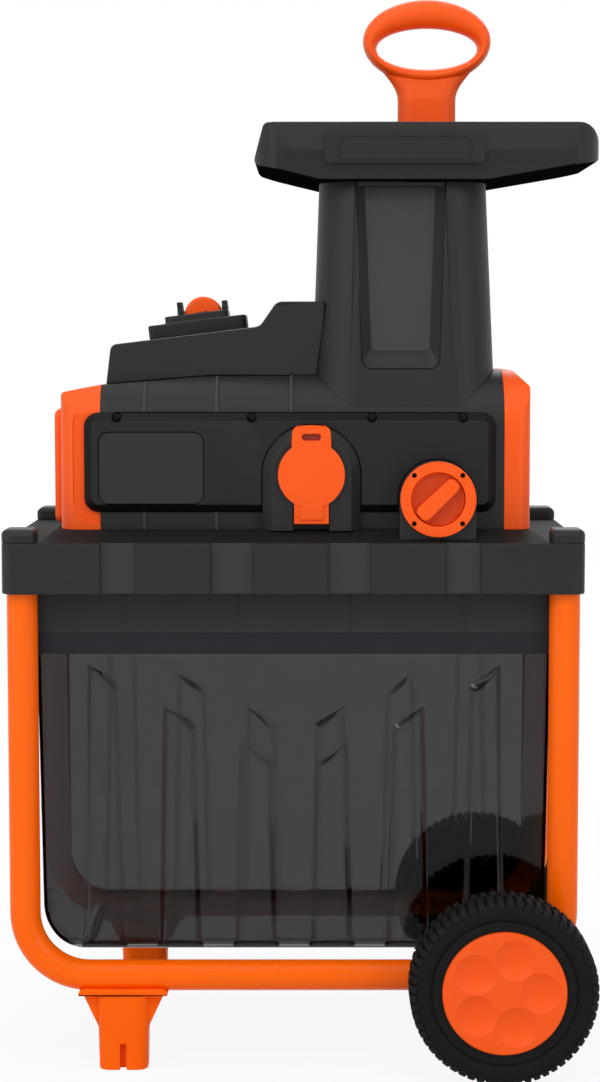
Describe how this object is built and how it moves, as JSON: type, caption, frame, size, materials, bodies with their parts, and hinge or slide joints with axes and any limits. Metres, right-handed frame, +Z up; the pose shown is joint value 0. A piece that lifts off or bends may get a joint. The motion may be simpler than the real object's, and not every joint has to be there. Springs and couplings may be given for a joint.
{
  "type": "garden shredder",
  "caption": "Upright electric garden shredder: feed hopper with pusher over a motor-driven cutting drum, on a wheeled tube frame with a smoked collecting bin.",
  "frame": {"origin": "on the floor under the middle of the whole machine's box", "axes": "+Z up, +X to the viewer's right towards the wheels, front at -Y"},
  "size_m": [0.487, 0.366, 0.882],
  "materials": {
    "orange_plastic": "moulded, light sheen",
    "orange_paint": "gloss powder coat",
    "black_plastic": "fine moulded grain",
    "dark_plastic": "fine moulded grain",
    "band_plastic": "smooth, blue-black",
    "smoked_clear": "smoked clear, polished",
    "tyre": "moulded tread",
    "steel": "bright",
    "tool_steel": "machined",
    "copper": "wound coils"
  },
  "bodies": {
    "machine": {"front_frame": "orange_paint", "rear_frame": "orange_paint", "axle": "steel", "axle_spacers": "black_plastic", "axle_retainers": "steel", "front_foot": "orange_plastic", "rear_foot": "orange_plastic", "base_tray": "black_plastic", "corner_caps": "black_plastic", "front_skirt": "dark_plastic", "rear_skirt": "dark_plastic", "front_runner": "band_plastic", "rear_runner": "band_plastic", "housing_front": "black_plastic", "housing_rear": "black_plastic", "left_end_cap": "orange_plastic", "right_end_cap": "orange_plastic", "front_panel": "black_plastic", "cover_screws": "steel", "inlet_boss": "black_plastic", "inlet_pins": "steel", "flap_pin": "steel", "knob_boss": "black_plastic", "knob_ring": "orange_plastic", "anvil_bed": "dark_plastic", "switch_cover": "black_plastic", "switch_base": "black_plastic", "switch_guard": "black_plastic", "hopper_chute": "black_plastic", "hopper_funnel": "black_plastic", "name_plate": "dark_plastic", "drum_plates": "steel", "drum_bearings": "steel", "gear_plate": "steel", "idler_shaft": "steel", "motor_can": "steel", "motor_stator": "copper", "motor_bearings": "steel", "motor_cradles": "dark_plastic"},
    "front_wheel": {"front_rim": "black_plastic", "front_tyre": "tyre", "front_hub_cap": "orange_plastic"},
    "rear_wheel": {"rear_rim": "black_plastic", "rear_tyre": "tyre", "rear_hub_cap": "orange_plastic"},
    "bin": {"bin": "smoked_clear"},
    "pusher": {"pusher": "orange_plastic"},
    "inlet_flap": {"inlet_flap": "orange_plastic"},
    "adjuster": {"adjust_knob": "orange_plastic", "adjust_screw": "steel"},
    "anvil": {"anvil": "steel"},
    "switch_rocker": {"switch_rocker": "orange_plastic"},
    "motor": {"motor_rotor": "steel", "motor_pinion": "steel", "motor_fan": "black_plastic"},
    "idler": {"idler_gear": "steel"},
    "drum": {"cutting_drum": "tool_steel", "drum_shaft": "steel", "drum_gear": "steel"}
  },
  "joints": [
    {"name": "front_wheel_spin", "type": "hinge", "parent": "machine", "child": "front_wheel", "pos_m": [0.1605, -0.162, 0.076], "axis": [0, 1, 0], "continuous": true},
    {"name": "rear_wheel_spin", "type": "hinge", "parent": "machine", "child": "rear_wheel", "pos_m": [0.1605, 0.162, 0.076], "axis": [0, 1, 0], "continuous": true},
    {"name": "bin_slide", "type": "slide", "parent": "machine", "child": "bin", "axis": [-1, 0, 0], "range_m": [0, 0.4]},
    {"name": "pusher_lift", "type": "slide", "parent": "machine", "child": "pusher", "axis": [0, 0, 1], "range_m": [0, 0.25]},
    {"name": "flap_hinge", "type": "hinge", "parent": "machine", "child": "inlet_flap", "pos_m": [0.0061, -0.1124, 0.45115], "axis": [1, 0, 0], "range_deg": [0, 90]},
    {"name": "knob_turn", "type": "hinge", "parent": "machine", "child": "adjuster", "pos_m": [0.1082, -0.128, 0.468], "axis": [0, 1, 0], "range_deg": [-360, 360]},
    {"name": "anvil_slide", "type": "slide", "parent": "machine", "child": "anvil", "axis": [0, 1, 0], "range_m": [-0.0015, 0.0015]},
    {"name": "switch_rock", "type": "hinge", "parent": "machine", "child": "switch_rocker", "pos_m": [-0.08589, 0, 0.61665], "axis": [0, 1, 0], "range_deg": [-15, 15]},
    {"name": "motor_spin", "type": "hinge", "parent": "machine", "child": "motor", "pos_m": [-0.09, 0, 0.49], "axis": [1, 0, 0], "continuous": true},
    {"name": "idler_spin", "type": "hinge", "parent": "machine", "child": "idler", "pos_m": [-0.01, 0.04375, 0.49], "axis": [1, 0, 0], "continuous": true},
    {"name": "drum_spin", "type": "hinge", "parent": "machine", "child": "drum", "pos_m": [0.08, 0, 0.49], "axis": [1, 0, 0], "continuous": true}
  ],
  "couplings": [
    {"joint": "anvil_slide", "follows": "knob_turn", "m_per_rad": 0.00023873},
    {"joint": "idler_spin", "follows": "motor_spin", "ratio": -0.25},
    {"joint": "drum_spin", "follows": "motor_spin", "ratio": 0.0625}
  ]
}
